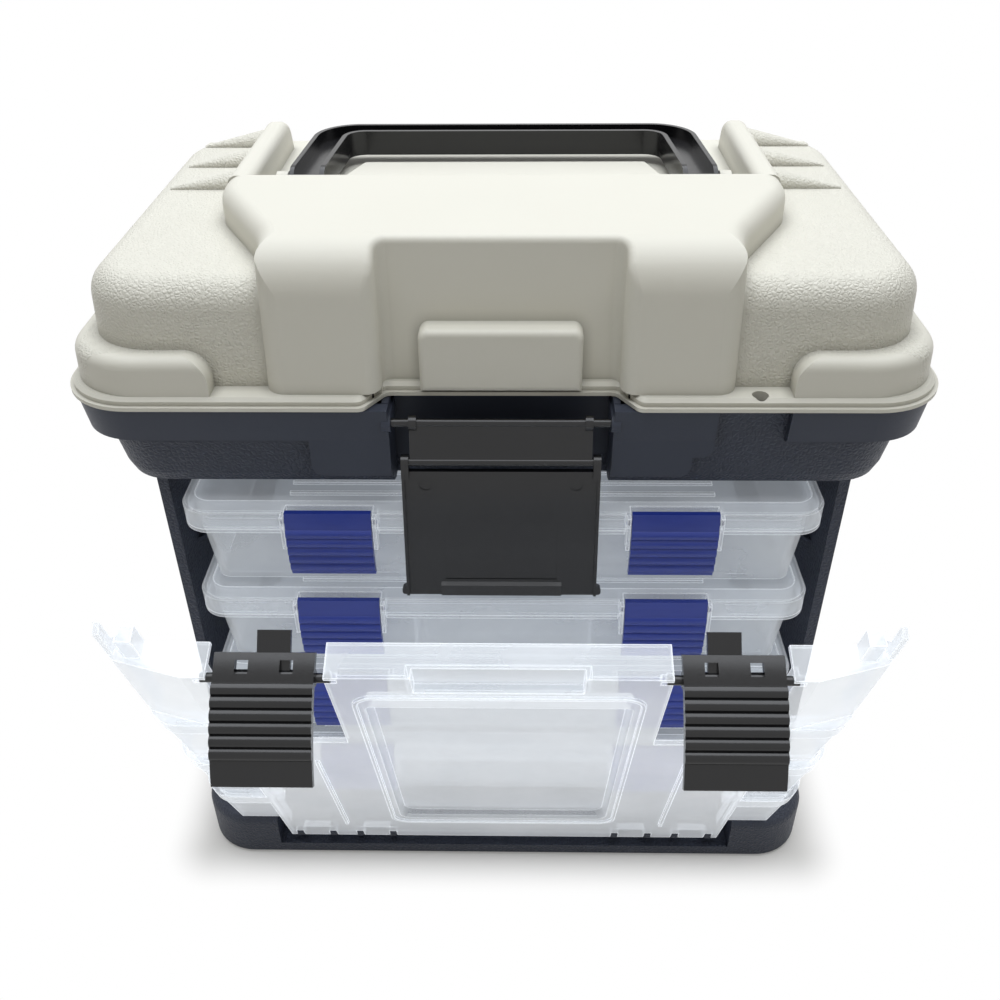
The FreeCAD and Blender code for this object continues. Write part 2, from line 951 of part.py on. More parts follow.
def door():
    """The clear front door, tilted as it rests, on barrels between the base's lugs."""
    face = [
        (-door_foot_half, -door_lower),
        (door_foot_half, -door_lower),
        (door_head_half, door_shelf),
        (notch_outer, door_shelf),
        (notch_outer, notch_low),
        (centre_half, notch_low),
        (centre_half, door_shelf),
        (-centre_half, door_shelf),
        (-centre_half, notch_low),
        (-notch_outer, notch_low),
        (-notch_outer, door_shelf),
        (-door_head_half, door_shelf),
    ]
    parts = [door_face(face, 0, 0, door_wall)]
    shelf_low = door_shelf - door_wall
    parts.append(door_box(-centre_half, centre_half, 0, door_shelf_deep, shelf_low, door_shelf))
    boss = door_box(centre_half - door_wall, centre_half, 0, notch_boss_deep, notch_boss_low, door_shelf)
    parts += pair(boss)
    scoop_wall = scoop_half + door_wall
    parts.append(
        door_box(
            -scoop_wall,
            scoop_wall,
            0,
            scoop_deep + door_wall,
            scoop_low - door_wall,
            door_shelf,
        )
    )
    outer, space = door_window()
    parts.append(outer)
    rib = door_box(
        door_rib_place - door_rib_wide / 2,
        door_rib_place + door_rib_wide / 2,
        -door_rib_proud,
        door_wall,
        door_rib_foot,
        door_rib_head,
    )
    parts += pair(rib)
    parts.append(door_frame())
    parts += pair(door_wing())
    for inner, outer_lug in zip(lug_places[::2], lug_places[1::2]):
        x0 = inner + lug_thick / 2 + lug_gap
        x1 = outer_lug - lug_thick / 2 - lug_gap
        reach = lug_thick + lug_gap
        parts += pair(rod(x0, x1, hinge_y, hinge_height, barrel_radius))
        parts += pair(rod(x0 - reach, x1 + reach, hinge_y, hinge_height, hinge_pin))
        parts += pair(door_box(x0, x1, 0, hinge_back, -door_lower, barrel_radius))
    whole = join(parts)
    whole = whole.cut(space)
    whole = whole.cut(
        door_box(-scoop_half, scoop_half, -overrun, scoop_deep, scoop_low, door_shelf + overrun)
    )
    for inner, outer_lug in zip(lug_places[::2], lug_places[1::2]):
        for x in (inner, outer_lug):
            gap = lug_thick / 2 + lug_gap
            for side in (-1, 1):
                slot = block(
                    side * x - gap,
                    side * x + gap,
                    door_front - overrun,
                    door_front + door_wall + overrun,
                    hinge_height - door_lower - overrun,
                    hinge_height + lug_radius + lug_gap,
                )
                whole = whole.cut(slot.cut(rod(-door_half, door_half, hinge_y, hinge_height, hinge_pin)))
    for side in (-1, 1):
        for x in (centre_half, notch_outer):
            bore = rod(
                side * x - 2 * door_wall,
                side * x + 2 * door_wall,
                latch_y,
                latch_z,
                latch_pin + pin_fit,
            )
            whole = whole.cut(bore)
    return turned(whole, hinge_y, hinge_height, door_open_angle)


def door_latch():
    """The right door latch: a banded paddle on a pin, with a tongue, swung open as it rests."""
    x0 = latch_place - latch_wide / 2
    x1 = latch_place + latch_wide / 2
    y = latch_y - latch_barrel / 2
    top = (y, latch_z + latch_above)
    bottom = (y, latch_z - latch_below)
    body = banded(
        top,
        bottom,
        (y + latch_thick, top[1]),
        (y + latch_thick, bottom[1]),
        latch_bulge,
        latch_bands,
        latch_groove,
        (latch_head_share, latch_foot_share),
        x0,
        x1,
    )
    barrel = rod(x0, x1, latch_y, latch_z, latch_barrel)
    pin_in = centre_half - door_wall
    pin_out = notch_outer + door_wall
    pin = rod(pin_in, pin_out, latch_y, latch_z, latch_pin)
    tongue_x = latch_place - tongue_shift
    tongue = block(
        tongue_x - tongue_wide / 2,
        tongue_x + tongue_wide / 2,
        latch_y - tongue_thick / 2,
        latch_y + tongue_thick / 2,
        latch_z,
        latch_z + tongue_long,
    )
    paddle = join([body, barrel])
    for side in (-1, 1):
        x = latch_place + side * latch_slot_place
        slot = block(
            x - latch_slot / 2,
            x + latch_slot / 2,
            y - latch_bulge - latch_thick,
            y + latch_thick + overrun,
            top[1] - latch_slot_drop - latch_slot,
            top[1] - latch_slot_drop,
        )
        paddle = paddle.cut(slot.cut(rod(x0, x1, latch_y, latch_z, latch_barrel)))
    whole = join([paddle, pin, tongue])
    whole = turned(whole, latch_y, latch_z, -latch_open_angle)
    return turned(whole, hinge_y, hinge_height, door_open_angle)


# Bulk bin


def bin_wire(inset, z, corner=bin_corner):
    """The plan of the bin's wall at a height over its bottom, drawn in by an inset."""
    share = z / bin_height
    half = bin_foot_half + (bin_head_half - bin_foot_half) * share - inset
    front = bin_foot_front + (bin_head_front - bin_foot_front) * share - inset
    return outline("top", bin_low + z, rectangle(half, -front, bin_back - inset), corner)


def bulk_bin():
    """The bin: a drafted shell with a smooth band at its rim, a latch pocket and hinge knuckles."""
    shell = loft(
        bin_wire(bin_toe, 0, bin_corner - bin_toe),
        bin_wire(bin_toe / 4, bin_toe / 3, bin_corner - bin_toe / 2),
        bin_wire(0, bin_toe),
        bin_wire(0, bin_height),
    )
    band_low = bin_top - bin_band_high
    swell = bin_band_swell / 2
    band_half = bin_head_half + bin_band_swell
    band_foot = rectangle(band_half, -bin_head_front - swell, bin_back + bin_band_swell)
    band_head = rectangle(bin_band_half, -bin_band_front, bin_band_rear)
    band = loft(
        bin_wire(bin_wall, bin_height - bin_band_high - swell),
        outline("top", band_low + swell, band_foot, bin_corner),
        outline("top", bin_top, band_head, bin_corner + bin_wall),
    )
    band_front = -bin_head_front + bin_wall
    gap = block(
        bin_step_outer,
        bin_gap_outer,
        -bin_band_front - overrun,
        band_front,
        band_low - bin_band_swell,
        bin_top + overrun,
    )
    band = band.cut(gap.cut(shell))
    step_front = -bin_head_front - swell
    step_rear = -bin_foot_front + bin_wall
    steps = []
    for left, right, high in (
        (-bin_step_inner, bin_step_inner, bin_step_high),
        (0, bin_step_outer, bin_step_mid),
    ):
        corners = [(left, bin_top), (left, bin_top - high), (right, bin_top - high), (right, bin_top)]
        foot_rounds = [0, bin_step_round if left else 0, bin_step_round, 0]
        steps.append(slab("front", step_front, step_rear, corners, foot_rounds))
    outer = join([shell, band] + steps)
    hollow = loft(
        bin_wire(bin_wall, bin_wall, bin_corner - bin_wall),
        bin_wire(bin_wall, bin_height + overrun, bin_corner - bin_wall),
    )
    pocket_wall = block(
        -bin_pocket_half - bin_wall,
        bin_pocket_half + bin_wall,
        -bin_foot_front - overrun,
        -bin_pocket_front + bin_wall,
        bin_low,
        bin_top,
    )
    body = outer.cut(hollow.cut(pocket_wall))
    pocket = block(
        -bin_pocket_half,
        bin_pocket_half,
        -bin_band_front - overrun,
        -bin_pocket_front,
        bin_low - overrun,
        bin_top + overrun,
    )
    body = body.cut(pocket)
    brackets = []
    for side in (-1, 1):
        x0, x1 = sorted((side * bracket_half, side * (bracket_half + bracket_radius)))
        low = bar_height - bracket_radius
        high = bar_height + bracket_radius
        arm = block(x0, x1, -bar_front, -bin_pocket_front + bin_wall, low, high)
        brackets.append(join([arm, rod(x0, x1, -bar_front, bar_height, bracket_radius)]))
    body = join([body] + brackets)
    body = body.cut(rod(-bar_half_long, bar_half_long, -bar_front, bar_height, bar_radius + pin_fit))
    return join([body] + knuckles(0))


def knuckles(first):
    """Every second knuckle of the lid hinge: the bin's start at 0, the lid's at 1."""
    pieces = []
    span = knuckle_count * knuckle_long
    for k in range(first, knuckle_count, 2):
        x0 = -span / 2 + k * knuckle_long + knuckle_gap / 2
        x1 = x0 + knuckle_long - knuckle_gap
        barrel = rod(x0, x1, rear_hinge, rear_hinge_height, knuckle_radius)
        if first:
            web_top = rear_hinge_height + knuckle_radius
            web = block(x0, x1, lip_rear - lid_wall, rear_hinge, rear_hinge_height, web_top)
            web = web.cut(block(x0, x1, lip_rear - lid_wall, lip_rear, lid_low, rear_hinge_height))
        else:
            web = slab(
                "side",
                x0,
                x1,
                [
                    (bin_back - bin_wall / 2, bin_top - bin_band_high),
                    (rear_hinge, bin_top - knuckle_radius),
                    (rear_hinge, rear_hinge_height),
                    (rear_hinge - knuckle_radius, rear_hinge_height),
                    (rear_hinge - knuckle_radius, bin_top),
                    (bin_back - bin_wall / 2, bin_top),
                ],
            )
        hole = rod(x0 - overrun, x1 + overrun, rear_hinge, rear_hinge_height, rod_radius + pin_fit)
        pieces.append(join([barrel, web]).cut(hole))
    return pieces


def lid_hinge_rod():
    half = knuckle_count * knuckle_long / 2
    return rod(-half, half, rear_hinge, rear_hinge_height, rod_radius)


# Lid


def lid_shoulders():

    def wire(out, z):
        points = rectangle(shoulder_half + out, -shoulder_front - out, shoulder_rear + out)
        return outline("top", z, points, shoulder_corner + out)

    body = loft(wire(shoulder_draft, lid_low), wire(0, shoulder_top))
    rim = [e for e in body.Edges if e.BoundBox.ZMin > shoulder_top - overrun]
    return body.makeFillet(shoulder_round, rim)


def band_side(inset):
    """The right side of the band's plan from its rear to its neck, drawn in by an inset."""
    return [
        (band_rear_half - inset, -band_rear),
        (band_rear_half - inset, -band_turn),
        (band_neck - inset, -band_neck_front),
    ]


def recess_tool():
    """The space of the front recess, flared so that the pillars' inner edges come out rounded."""

    def wire(z, setback):
        front = -pillar_front + setback - band_clear
        ahead = -pillar_front - 2 * overrun
        rear = -recess_front + setback
        flare = recess_half + 2 * pillar_inner_corner
        half = [(recess_half, rear), (recess_half, front), (flare, front), (flare, ahead)]
        points = half + [(-x, y) for x, y in reversed(half)]
        rounds = [recess_corner, pillar_inner_corner, 0, 0]
        return outline("top", z, points, rounds + rounds[::-1])

    return loft(wire(lid_floor, 0), wire(band_top, recess_setback))


def lid_band():
    """The raised middle band and the two pillars that run down its front."""

    def wire(inset, z, setback):
        half = band_side(inset) + [(band_neck - inset, -pillar_front + setback)]
        points = half + [(-x, y) for x, y in reversed(half)]
        rounds = [0, band_turn_round, band_neck_round, pillar_corner]
        return outline("top", z, points, rounds + rounds[::-1])

    body = loft(wire(0, lid_floor, 0), wire(band_draft, band_top, pillar_setback))
    top = [
        e
        for e in body.Edges
        if e.BoundBox.ZMin > band_top - overrun and e.BoundBox.YMin < -band_rear - overrun
    ]
    body = body.makeFillet(band_round, top)
    profile = slab(
        "side",
        -band_rear_half,
        band_rear_half,
        [
            (-band_rear, lid_floor),
            (-pillar_front, lid_floor),
            (-pillar_front + pillar_setback, band_top),
            (-band_rear, band_top),
        ],
        [0, 0, pillar_crown, 0],
    )
    body = body.common(profile).cut(recess_tool())
    rear = -recess_front + recess_setback
    brow = [
        e
        for e in body.Edges
        if e.BoundBox.ZMin > band_top - recess_crown
        and abs(e.BoundBox.YMin - rear) < overrun
        and abs(e.BoundBox.YMax - rear) < overrun
    ]
    return body.makeFillet(recess_crown, brow)


def lid_bumpers():
    """Smooth raised corner bands along the lid's lower edge, with rounded ends."""

    def wire(inset, z):
        points = rectangle(bumper_half - inset, -bumper_front + inset, lip_rear - lid_wall - inset)
        return outline("top", z, points, lip_corner - inset)

    z0 = lid_floor - lip_round
    solid = loft(wire(0, z0), wire(bumper_draft, bumper_top))
    rim = [e for e in solid.Edges if e.BoundBox.ZMin > bumper_top - overrun]
    solid = solid.makeFillet(bumper_round, rim)
    across = []
    for side in (-1, 1):
        ends = [
            (side * bumper_inner, z0),
            (side * bumper_inner, bumper_top),
            (side * lip_half, bumper_top),
            (side * lip_half, z0),
        ]
        across.append(slab("front", -lip_front, lip_rear, ends, [0, bumper_end, 0, 0]))
    along = []
    for start, end in ((-bumper_side, -lip_front), (bumper_side, lip_rear)):
        ends = [(start, z0), (start, bumper_top), (end, bumper_top), (end, z0)]
        along.append(slab("side", -lip_half, lip_half, ends, [0, bumper_end, 0, 0]))
    return solid.common(Part.makeCompound(across)).common(Part.makeCompound(along))


def lid_grips(side):
    """Rounded scale-like grips that climb from the shoulder to the fin."""

    def section(x, y0, y1, share):
        low = Vector(x, y0, shoulder_top - overrun)
        foot = Vector(x, y0, shoulder_top)
        face = Vector(x, y0 + grip_face * share, shoulder_top + grip_swell * share)
        crest = Vector(x, y0 + grip_run * share, shoulder_top + grip_high * share)
        end = Vector(x, y1, shoulder_top)
        end_low = Vector(x, y1, shoulder_top - overrun)
        edges = [
            Part.LineSegment(low, foot).toShape(),
            Part.Arc(foot, face, crest).toShape(),
            Part.LineSegment(crest, end).toShape(),
            Part.LineSegment(end, end_low).toShape(),
            Part.LineSegment(end_low, low).toShape(),
        ]
        return Part.Wire(edges)

    pieces = []
    fin = fin_inner + fin_thick / 2
    for k in range(grip_count):
        y0 = grip_start + k * grip_pitch
        y1 = min(y0 + grip_pitch, shoulder_rear - shoulder_round)
        pieces.append(
            loft(
                section(side * fin, y0, y1, 1),
                section(side * grip_tip, y0, y1, grip_tip_share),
            )
        )
    return pieces


def lid_lip():
    """The lid's edge: a thin bead below and a rounded plate above, drawn in at the latch."""

    def wire(inset, z):
        half = lip_half - inset
        front = -lip_front + inset
        notch = -lip_front + lip_notch_deep + inset
        near = lip_notch_half + inset
        far = lip_notch_half + lip_notch_run + inset / 2
        points = [
            (-half, front),
            (-far, front),
            (-near, notch),
            (near, notch),
            (far, front),
            (half, front),
            (half, lip_rear - inset),
            (-half, lip_rear - inset),
        ]
        turn = lip_notch_run / 2
        corner = lip_corner - inset
        return outline("top", z, points, [corner, turn, turn, turn, turn, corner, corner, corner])

    bead_top = lid_low + lip_bead
    bead = loft(wire(0, lid_low), wire(0, bead_top))
    plate = loft(
        wire(lip_bead, lid_low),
        wire(lip_bead, lid_floor - lip_round),
        wire(lip_bead + lip_round, lid_floor),
    )
    return join([bead, plate])


def lid_fin():
    """The right fin, a tapering continuation of the band beside the handle, with a rounded crest."""
    fin = slab(
        "side",
        fin_inner,
        fin_inner + fin_thick,
        [
            (-band_rear - overrun, shoulder_top - overrun),
            (-band_rear - overrun, band_top),
            (fin_rear - fin_cut, band_top),
            (fin_rear, shoulder_top - overrun),
        ],
        [0, 0, fin_end, 0],
    )
    crest = [e for e in fin.Edges if e.BoundBox.ZMax > band_top - fin_end]
    crest = [e for e in crest if e.BoundBox.YMax - e.BoundBox.YMin > fin_round]
    return fin.makeFillet(fin_round, crest)


def lid():
    """The cover: lip, shoulders, band with pillars, pad, bumpers, ramp, fins and grips on one shell."""
    notch_front = -lip_front + lip_notch_deep
    shoulders = lid_shoulders()
    recess = block(-recess_half, recess_half, -lip_front, -recess_front, lid_low - overrun, band_top)
    leaning = slab(
        "side",
        -recess_half,
        recess_half,
        [
            (-lip_front, lid_floor),
            (-recess_front, lid_floor),
            (-recess_front + recess_setback, band_top),
            (-lip_front, band_top),
        ],
    )
    neck = block(
        -lip_notch_half, lip_notch_half, -lip_front - overrun, notch_front, lid_low - overrun, band_top
    )
    pad = slab(
        "front",
        -pad_front,
        -recess_front + recess_setback,
        [
            (-pad_half, pad_foot),
            (-pad_half, pad_foot + pad_high),
            (pad_half, pad_foot + pad_high),
            (pad_half, pad_foot),
        ],
        [0, pad_corner, pad_corner, 0],
    )
    pad = pad.makeFillet(pad_round, [e for e in pad.Edges if e.BoundBox.YMax < -pad_front + overrun])
    ramp = slab(
        "side",
        -ramp_half,
        ramp_half,
        [
            (-band_rear - overrun, shoulder_top - overrun),
            (-band_rear - overrun, band_top),
            (-band_rear, band_top),
            (ramp_rear, ramp_low),
            (ramp_rear, shoulder_top - overrun),
        ],
    )
    outer = join([shoulders.cut(recess).cut(leaning).cut(neck), lid_band()])
    outer = join([outer, lid_lip(), lid_bumpers()])
    outer = join([outer, ramp] + pair(lid_fin()) + lid_grips(1) + lid_grips(-1))
    outer = outer.cut(lid_hollow())
    lugs = []
    lug_x = foot_half + lug_clear
    plate = block(
        lug_x,
        lug_x + handle_lug,
        grip_pivot - handle_lug_radius,
        grip_pivot + handle_lug_radius,
        shoulder_top - overrun,
        grip_pivot_height,
    )
    eye = rod(lug_x, lug_x + handle_lug, grip_pivot, grip_pivot_height, handle_lug_radius)
    lugs += pair(join([plate, eye]))
    outer = join([outer, pad] + lugs)
    half = foot_half + lug_clear + handle_lug
    for side in (-1, 1):
        x0, x1 = sorted((side * (ramp_half - handle_lug), side * half))
        outer = outer.cut(rod(x0, x1, grip_pivot, grip_pivot_height, handle_pin))
    hole_foot = Vector(tie_hole_place, -lip_front + tie_hole_edge, lid_low - overrun)
    outer = outer.cut(Part.makeCylinder(tie_hole, lip_high + 2 * overrun, hole_foot))
    return join([outer] + knuckles(1))


def lid_hollow():
    """The space inside the lid, with a wall kept behind the front recess and hollow pillars."""
    under = shoulder_top - lid_wall
    low = lid_low - overrun
    main = slab(
        "top",
        low,
        under,
        rectangle(shoulder_half - lid_wall, -shoulder_front + lid_wall, shoulder_rear - lid_wall),
        shoulder_corner - lid_wall,
    )
    rim = [e for e in main.Edges if e.BoundBox.ZMin > under - overrun]
    main = main.makeFillet(shoulder_round - lid_wall, rim)
    wall_rear = -recess_front + recess_setback + lid_wall
    wall = block(-recess_half - lid_wall, recess_half + lid_wall, -shoulder_front, wall_rear, low, band_top)
    inset = band_draft + lid_wall
    side = [(x, min(y, -band_rear - lid_wall)) for x, y in band_side(inset)]
    side.append((band_neck - inset, wall_rear))
    points = side + [(-x, y) for x, y in reversed(side)]
    band = slab("top", under - overrun, band_top - lid_wall, points)
    front = -pillar_front + lid_wall
    pillar = slab(
        "side",
        recess_half + lid_wall,
        band_neck - inset,
        [
            (-band_neck_front, low),
            (front, low),
            (front + pillar_setback, band_top - lid_wall),
            (-band_neck_front, band_top - lid_wall),
        ],
        [0, 0, pillar_crown - lid_wall, 0],
    )
    return join([main.cut(wall), band] + pair(pillar))


# Handle


def handle_plan(inset, z0, z1):
    """The plan of the folded handle, drawn in by an inset, between two heights."""
    front = grip_pivot - handle_foot_radius + inset
    rear = handle_rear - inset
    outer_foot = foot_half - inset
    outer_bar = bar_half - inset
    outer = [(-outer_foot, front), (-outer_bar, rear), (outer_bar, rear), (outer_foot, front)]
    inner_bar = bar_half - handle_leg + inset
    inner_foot = foot_half - handle_leg + inset
    inner_rear = handle_rear - handle_bar + inset
    inner = [(inner_foot, front), (inner_bar, inner_rear), (-inner_bar, inner_rear), (-inner_foot, front)]
    big = handle_outer_round - inset
    small = handle_inner_round + inset
    return slab("top", z0, z1, outer + inner, [0, big, big, 0, 0, small, small, 0])


def handle():
    """A channel-section handle with raised rims, its feet bored for the pivot pins."""
    low = handle_top - handle_deep
    body = handle_plan(0, low, handle_top)
    channel = handle_plan(channel_wall, handle_top - channel_deep, handle_top + overrun)
    body = body.cut(channel)
    half = foot_half + overrun
    legs = block(-half, half, grip_pivot, handle_rear + overrun, low - overrun, handle_top + overrun)
    body = body.common(join([legs, rod(-half, half, grip_pivot, grip_pivot_height, handle_foot_radius)]))
    for side in (-1, 1):
        x0, x1 = sorted((side * (foot_half - handle_leg - overrun), side * half))
        body = body.cut(rod(x0, x1, grip_pivot, grip_pivot_height, handle_pin + pin_fit))
    return body


def handle_pins():
    outer = foot_half + lug_clear + handle_lug
    inner = ramp_half - handle_lug
    return Part.makeCompound(pair(rod(inner, outer, grip_pivot, grip_pivot_height, handle_pin)))


# Main latch


def link_end():
    """The link's lower pivot, in Y and Z."""
    lean = math.radians(link_hang_angle)
    return -bar_front - link_long * math.sin(lean), bar_height - link_long * math.cos(lean)


def latch_link():
    """The link: a bar on the bin's brackets, a web, and the pin that carries the plate."""
    bar = rod(-bar_half_long, bar_half_long, -bar_front, bar_height, bar_radius)
    low_z = bar_height - link_long
    lower = rod(-plate_half, plate_half, -bar_front, low_z, bar_radius)
    near = -bar_front - link_thick / 2
    web = block(-link_half, link_half, near, near + link_thick, low_z, bar_height)
    rings = []
    for side in (-1, 1):
        x0, x1 = sorted((side * link_half, side * (link_half - ring_wide)))
        rings.append(rod(x0, x1, -bar_front, bar_height, ring_radius))
    hanging = join([bar, lower, web] + rings)
    return turned(hanging, -bar_front, bar_height, -link_hang_angle)


def latch_plate():
    """The draw plate that hangs from the link, with rims, pin ears and a hook across its front."""
    y, z = link_end()
    top = z - ring_radius - plate_gap
    foot = z - plate_long
    back = y - plate_thick / 2
    body = slab(
        "front",
        back,
        back + plate_thick,
        [
            (-plate_half, top),
            (-plate_half, foot + plate_hook_high),
            (-plate_lip_half, foot + plate_hook_high),
            (-plate_lip_half, foot),
            (plate_lip_half, foot),
            (plate_lip_half, foot + plate_hook_high),
            (plate_half, foot + plate_hook_high),
            (plate_half, top),
        ],
        plate_rim,
    )
    parts = [body]
    for side in (-1, 1):
        x0, x1 = sorted((side * plate_half, side * (plate_half - plate_rim)))
        parts.append(block(x0, x1, back - plate_rim, back + plate_thick, foot, top))
        e0, e1 = sorted((side * (plate_half - plate_ear), side * plate_half))
        ear = join(
            [
                rod(e0, e1, y, z, ring_radius),
                block(e0, e1, y - ring_radius, y + plate_thick / 2, top - plate_ear, z),
            ]
        )
        parts.append(ear)
    hook_top = foot + 2 * plate_hook_high
    parts.append(
        slab(
            "side",
            -plate_hook_half,
            plate_hook_half,
            [
                (back + plate_thick / 2, foot),
                (back - plate_hook_proud / 2, foot),
                (back - plate_hook_proud, hook_top - plate_hook_high / 2),
                (back + plate_thick / 2, hook_top),
            ],
        )
    )
    whole = join(parts)
    field = block(
        -plate_field_half,
        plate_field_half,
        back - overrun,
        back + plate_dish,
        top - plate_field_foot,
        top - plate_field_top,
    )
    whole = whole.cut(field)
    for x in (-plate_dot_place, plate_dot_place):
        centre = Vector(x, back - overrun, top - plate_dot_drop)
        dot = Part.makeCylinder(plate_dot, plate_dish + overrun, centre, Vector(0, 1, 0))
        whole = whole.cut(dot)
    whole = whole.cut(rod(-plate_half - overrun, plate_half + overrun, y, z, bar_radius + pin_fit))
    return turned(whole, y, z, -plate_hang_angle)


def main():
    os.makedirs("parts", exist_ok=True)
    save("base", base())
    right = side_panel()
    save("side_panel_right", right)
    save("side_panel_left", mirrored(right))
    save("rear_panel", rear_panel())
    save("bin", bulk_bin())
    save("lid", lid())
    save("lid_hinge_rod", lid_hinge_rod())
    save("handle", handle())
    save("handle_pivot_pins", handle_pins())
    save("latch_link", latch_link())
    save("latch_plate", latch_plate())
    save("door", door())
    latch = door_latch()
    save("door_latch_right", latch)
    save("door_latch_left", mirrored(latch))
    pieces = {
        "tray": box_tray(),
        "lid": box_cover(),
        "dividers": box_dividers(),
        "latch_left": box_clip(-1),
        "latch_right": box_clip(1),
    }
    for number in range(1, box_count + 1):
        height = (box_count - number) * level_pitch
        for name, shape in pieces.items():
            save("box_%d_%s" % (number, name), raised(shape, height))


main()
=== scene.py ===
import json
import math

import bpy
from mathutils import Euler, Matrix, Vector

# Fishing tackle cabinet: materials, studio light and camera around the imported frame. Metres, +Z up.

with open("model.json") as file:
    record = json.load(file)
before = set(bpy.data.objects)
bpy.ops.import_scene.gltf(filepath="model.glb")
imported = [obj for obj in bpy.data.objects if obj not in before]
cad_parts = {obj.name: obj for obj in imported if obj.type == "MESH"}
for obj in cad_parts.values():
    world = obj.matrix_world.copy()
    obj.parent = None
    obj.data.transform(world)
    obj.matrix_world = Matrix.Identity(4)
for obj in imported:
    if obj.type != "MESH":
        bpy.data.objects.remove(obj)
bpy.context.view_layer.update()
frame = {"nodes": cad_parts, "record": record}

# Camera, as solved on the photograph
eye = Vector((0.0066, -0.4418, 0.4638))
yaw = math.radians(1.19)
pitch_down = math.radians(35.28)
roll = math.radians(-0.50)
image_width = 1000.0
focal_pixels = 1030.0
sensor_width = 36.0

# Studio
look_at = (0, 0, 0.15)
floor_half = 6.0
floor_colour = (0.80, 0.78, 0.74)
floor_shade = 0.985
floor_rough = 0.9
floor_clouds = 3.0
ambient_level = 0.15
ambient_colour = (1.0, 0.965, 0.87)
white_level = 1.0
white_colour = (1.0, 1.0, 1.0, 1.0)
overhead_power = 28.0
overhead_colour = (0.91, 0.945, 1.0)
shadow_half_width = 0.150
shadow_half_depth = 0.102
shadow_reach = 0.030
shadow_start = 0.15
overhead_place = (0.0, 0.12, 1.5)
overhead_size = 1.7
front_power = 0.4
front_colour = (1.0, 0.96, 0.88)
front_place = (0.3, -1.8, 1.1)
front_size = 1.6

# Colours, linear
ivory_colour = (0.73, 0.71, 0.625)
ivory_dark = (0.67, 0.65, 0.565)
slate_colour = (0.028, 0.034, 0.052)
slate_pale = (0.041, 0.048, 0.070)
black_colour = (0.006, 0.006, 0.007)
black_pale = (0.011, 0.011, 0.012)
blue_colour = (0.018, 0.038, 0.27)
blue_pale = (0.026, 0.052, 0.33)
steel_colour = (0.52, 0.52, 0.53)
steel_dark = (0.36, 0.36, 0.37)
clear_colour = (0.90, 0.93, 0.96)
clear_pale = (0.96, 0.97, 0.98)
clear_tint = (0.945, 0.955, 0.965)
# Colour of the painted glow, an emission on the clear plastic
clear_painted_glow = (0.90, 0.94, 1.0)

# Painted shade in crevices and where pieces meet; edge mask for the clear plastic's painted highlight
# and glow
crease_reach = 0.005
crease_shade = 0.45
crease_samples = 6
edge_reach = 0.0009
edge_samples = 4
edge_gain = 5.0

# Leather cells: the warp bends their walls, the slope sets how soon a cell is flat
cell_warp_scale = 0.6
cell_warp = 0.0012
cell_slope = 3.0

# Grain of the plastics: noise scales per metre, relief in metres
noise_detail = 3.0
fine_detail = 2.0
flow_detail = 4.0
plastic_ior = 1.49
black_ior = 1.5
blue_ior = 1.5
ivory_cells = 620.0
ivory_fine = 2600.0
ivory_fine_share = 0.06
ivory_relief = 0.00030
ivory_strength = 0.8
ivory_clouds = 16.0
ivory_cloud_share = 0.5
ivory_rough_scale = 900.0
ivory_rough = (0.42, 0.60)
slate_cells = 500.0
slate_fine = 2200.0
slate_fine_share = 0.08
slate_relief = 0.00035
slate_strength = 0.9
slate_clouds = 22.0
slate_rough_scale = 700.0
slate_rough = (0.40, 0.58)
slate_specular = 0.34
black_fine = 2400.0
black_relief = 0.00003
black_strength = 0.5
black_clouds = 40.0
black_rough_scale = 500.0
black_rough = (0.16, 0.25)
black_specular = 0.44
blue_flow = 90.0
blue_stretch = (1.0, 6.0, 6.0)
blue_fine = 1800.0
blue_relief = 0.00006
blue_strength = 0.6
blue_rough = (0.28, 0.42)
steel_drawn = 900.0
steel_stretch = (0.05, 1.0, 1.0)
steel_relief = 0.00003
steel_strength = 0.5
steel_rough = (0.22, 0.38)

# Clear plastic
clear_clouds = 30.0
clear_rough_scale = 260.0
clear_rough = (0.10, 0.22)
clear_ripple = 140.0
clear_relief = 0.00012
clear_strength = 0.35
clear_turn = 0.35
clear_turn_blend = 0.35
# Painted highlight: edges of the clear plastic made hazier, so they render whiter
clear_edge_painted_highlight = 0.38
clear_most_haze = 0.92
box_haze = (0.13, 0.25)
# Painted glow on the clear plastic: emission strength from faces (low) to edges (high)
box_painted_glow = (0.14, 0.42)
door_haze = (0.18, 0.30)
door_painted_glow = (0.33, 0.62)

# Where the moulded surfaces are grained: the rest of the lid and of the bin is smooth
lid_low = 0.2685
bumper_top = 0.2836
bumper_side = 0.1648
bumper_front = -0.0902
bumper_inner = 0.1118
bumper_deep = 0.0398
band_neck = 0.0915
band_shoulder = 0.1190
band_front = -0.072
band_rear = -0.022
bin_band_low = 0.2460
bin_step_low = 0.2318
bin_upper_step_low = 0.2408
bin_step_half = 0.0765
bin_upper_step_half = 0.0845
bin_gap_left = 0.0842
bin_gap_right = 0.1120
mask_soft = 0.001
bumper_soft = 0.0006
band_margin = 0.006
front_soft = 0.01


